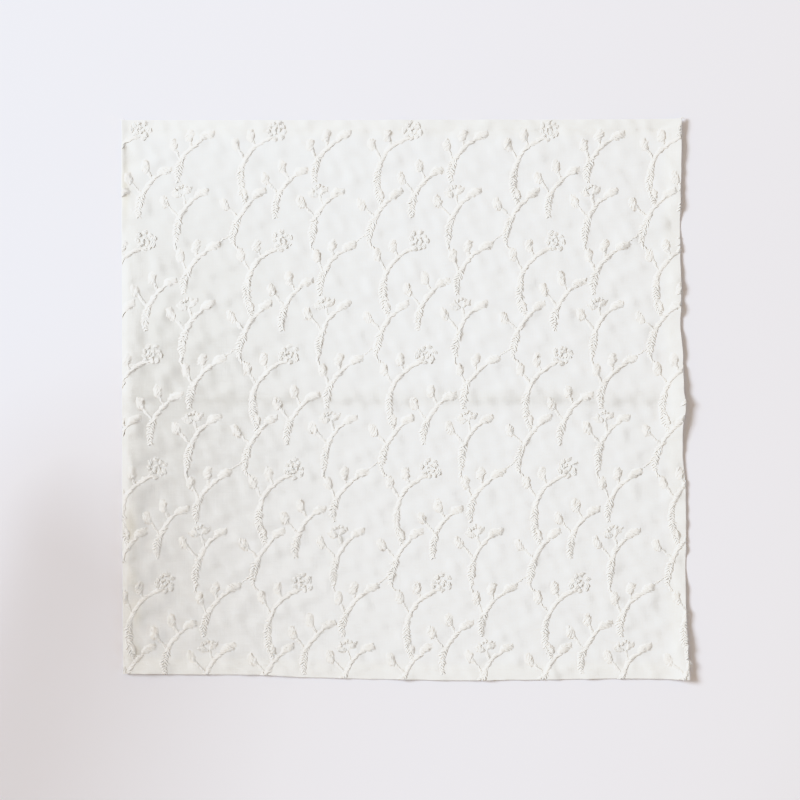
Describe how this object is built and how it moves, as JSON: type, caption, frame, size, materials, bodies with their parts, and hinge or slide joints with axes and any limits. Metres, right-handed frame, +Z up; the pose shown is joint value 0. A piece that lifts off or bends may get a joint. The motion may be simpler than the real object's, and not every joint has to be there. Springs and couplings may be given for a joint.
{
  "type": "embroidered linen handkerchief",
  "caption": "Square white linen handkerchief with a narrow hem and all-over white-on-white sprig embroidery, lying flat with softly waved edges.",
  "frame": {"origin": "middle of the cloth's box, on the surface that it lies on", "axes": "+Z up from that surface; +X towards the waved edge and +Y towards the row of blossoms, as the picture shows them right and up"},
  "size_m": [0.4038, 0.3994, 0.0071],
  "materials": {
    "linen": "matt white linen, plain weave, with raised white thread embroidery"
  },
  "bodies": {
    "root": {"handkerchief": "linen"}
  },
  "joints": []
}
